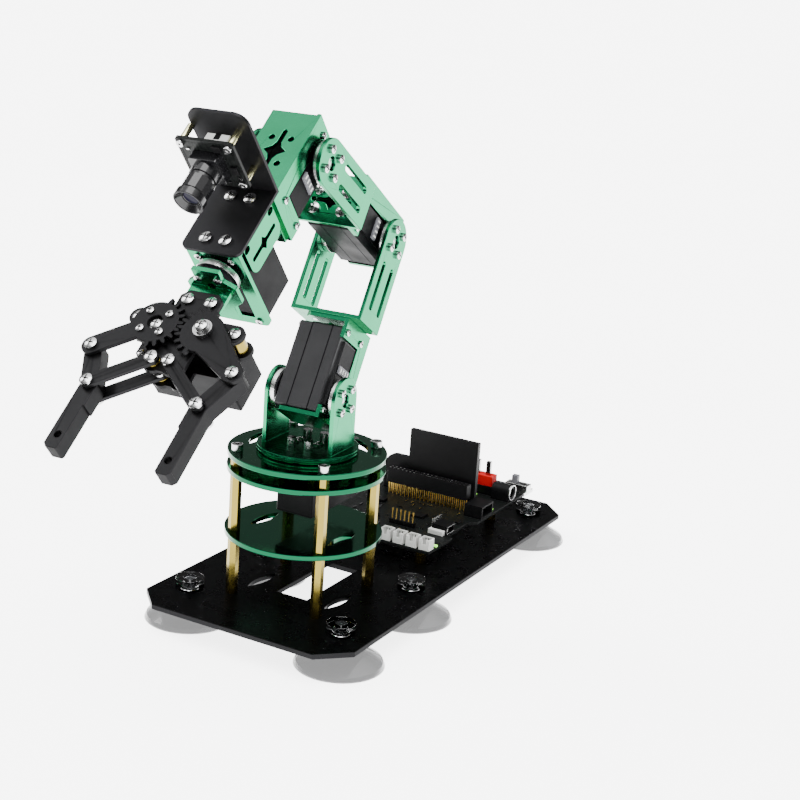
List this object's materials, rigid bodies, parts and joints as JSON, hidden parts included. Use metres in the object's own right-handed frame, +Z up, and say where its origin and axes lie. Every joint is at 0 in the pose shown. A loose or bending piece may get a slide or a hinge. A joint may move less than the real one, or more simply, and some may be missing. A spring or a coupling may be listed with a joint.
{
  "type": "articulated desktop robot arm",
  "caption": "Desktop robot arm of folded green sheet with servo joints, a geared parallel gripper and a small camera, on a black plate with suction cups and a control board.",
  "frame": {"origin": "on the base turning axis, in the plane that the suction cup rims stand on", "axes": "+X forward, the way the arm reaches; +Y to the arm's left; +Z up"},
  "size_m": [0.3632, 0.1308, 0.2575],
  "materials": {
    "green_anodised": "satin green anodised sheet aluminium, mirror-like on its faces",
    "black_plate": "satin black anodised sheet",
    "dark_plate": "dark grey anodised sheet",
    "servo_case": "fine matte moulded plastic with aluminium middle",
    "horn": "moulded black",
    "steel": "bright machined",
    "brass": "bright brass",
    "cup": "soft translucent",
    "knob": "clear moulded plastic",
    "circuit_board": "black solder mask",
    "black_plastic": "moulded",
    "white_plastic": "moulded",
    "red_plastic": "moulded"
  },
  "bodies": {
    "base": {"base_plate": "black_plate", "suction_cups": "cup", "cup_knobs": "knob", "lower_disc": "green_anodised", "middle_disc": "green_anodised", "top_disc": "green_anodised", "brass_standoffs": "brass", "tower_screws": "steel", "base_servo": "servo_case", "control_board": "circuit_board", "pin_header": "black_plastic", "header_pins": "brass", "upright_board": "black_plastic", "servo_ports": "white_plastic", "power_plug": "red_plastic", "power_prongs": "steel", "switch_body": "steel", "board_sockets": "black_plastic"},
    "switch": {"switch_knob": "black_plastic"},
    "turntable": {"yaw_horn": "horn", "turntable_disc": "green_anodised", "shoulder_fork": "green_anodised", "shoulder_horns": "horn", "shoulder_fork_screws": "steel"},
    "upper_arm": {"shoulder_servo": "servo_case", "shoulder_servo_bracket": "green_anodised", "upper_arm_link": "green_anodised", "elbow_horns": "horn", "upper_arm_screws": "steel"},
    "forearm": {"elbow_servo": "servo_case", "elbow_servo_bracket": "green_anodised", "forearm_link": "green_anodised", "wrist_horns": "horn", "forearm_screws": "steel"},
    "wrist": {"wrist_servo": "servo_case", "wrist_servo_bracket": "green_anodised", "roll_servo": "servo_case", "roll_servo_bracket": "green_anodised", "camera_bracket": "black_plate", "camera_board": "circuit_board", "camera_spacers": "brass", "lens_holder": "black_plastic", "wrist_screws": "steel"},
    "lens": {"camera_lens": "black_plastic"},
    "gripper_base": {"roll_horn": "horn", "gripper_mount": "green_anodised", "gripper_upper_plate": "dark_plate", "gripper_lower_plate": "dark_plate", "gripper_spacers": "brass", "gripper_servo": "servo_case", "gripper_screws": "steel"},
    "left_gear": {"left_gear_arm": "dark_plate"},
    "right_gear": {"drive_hub": "steel", "right_gear_arm": "dark_plate"},
    "left_links": {"left_inner_links": "dark_plate"},
    "right_links": {"right_inner_links": "dark_plate"},
    "left_jaw": {"left_finger": "dark_plate", "left_finger_pivots": "steel"},
    "right_jaw": {"right_finger": "dark_plate", "right_finger_pivots": "steel"}
  },
  "joints": [
    {"name": "base_yaw", "type": "hinge", "parent": "base", "child": "turntable", "pos_m": [0, 0, 0.0884], "axis": [0, 0, 1], "range_deg": [-115, 115]},
    {"name": "shoulder_pitch", "type": "hinge", "parent": "turntable", "child": "upper_arm", "pos_m": [0, 0, 0.1162], "axis": [-0.0478, 0.9989, 0], "range_deg": [-45, 40]},
    {"name": "elbow_pitch", "type": "hinge", "parent": "upper_arm", "child": "forearm", "pos_m": [-0.04293, -0.00205, 0.18703], "axis": [0.0478, -0.9989, 0], "range_deg": [-20, 110]},
    {"name": "wrist_pitch", "type": "hinge", "parent": "forearm", "child": "wrist", "pos_m": [0.02671, 0.00128, 0.23179], "axis": [0.0478, -0.9989, 0], "range_deg": [-15, 130]},
    {"name": "wrist_roll", "type": "hinge", "parent": "wrist", "child": "gripper_base", "pos_m": [0.02947, 0.00141, 0.23508], "axis": [0.7652, 0.0366, -0.6428], "range_deg": [-120, 120]},
    {"name": "gripper_drive", "type": "hinge", "parent": "gripper_base", "child": "right_gear", "pos_m": [0.11355, -0.00658, 0.1695], "axis": [0.6421, 0.0307, 0.766], "range_deg": [-15, 45]},
    {"name": "left_gear_turn", "type": "hinge", "parent": "gripper_base", "child": "left_gear", "pos_m": [0.1124, 0.01739, 0.1695], "axis": [0.6421, 0.0307, 0.766], "range_deg": [-45, 15]},
    {"name": "left_link_swing", "type": "hinge", "parent": "gripper_base", "child": "left_links", "pos_m": [0.12601, 0.01024, 0.15838], "axis": [0.6421, 0.0307, 0.766], "range_deg": [-45, 15]},
    {"name": "right_link_swing", "type": "hinge", "parent": "gripper_base", "child": "right_links", "pos_m": [0.12641, 0.00185, 0.15838], "axis": [0.6421, 0.0307, 0.766], "range_deg": [-15, 45]},
    {"name": "left_jaw_swing", "type": "hinge", "parent": "left_gear", "child": "left_jaw", "pos_m": [0.12438, 0.04021, 0.15854], "axis": [0.6421, 0.0307, 0.766], "range_deg": [-15, 45]},
    {"name": "right_jaw_swing", "type": "hinge", "parent": "right_gear", "child": "right_jaw", "pos_m": [0.12765, -0.02814, 0.15854], "axis": [0.6421, 0.0307, 0.766], "range_deg": [-45, 15]},
    {"name": "lens_focus", "type": "hinge", "parent": "wrist", "child": "lens", "pos_m": [0.09774, 0.00132, 0.22721], "axis": [0.7652, 0.0366, -0.6428], "range_deg": [-180, 180]},
    {"name": "switch_slide", "type": "slide", "parent": "base", "child": "switch", "axis": [0, 1, 0], "range_m": [0, 0.0038]}
  ],
  "couplings": [
    {"joint": "left_gear_turn", "follows": "gripper_drive", "ratio": -1},
    {"joint": "left_link_swing", "follows": "gripper_drive", "ratio": -1},
    {"joint": "right_link_swing", "follows": "gripper_drive", "ratio": 1},
    {"joint": "left_jaw_swing", "follows": "gripper_drive", "ratio": 1},
    {"joint": "right_jaw_swing", "follows": "gripper_drive", "ratio": -1}
  ]
}
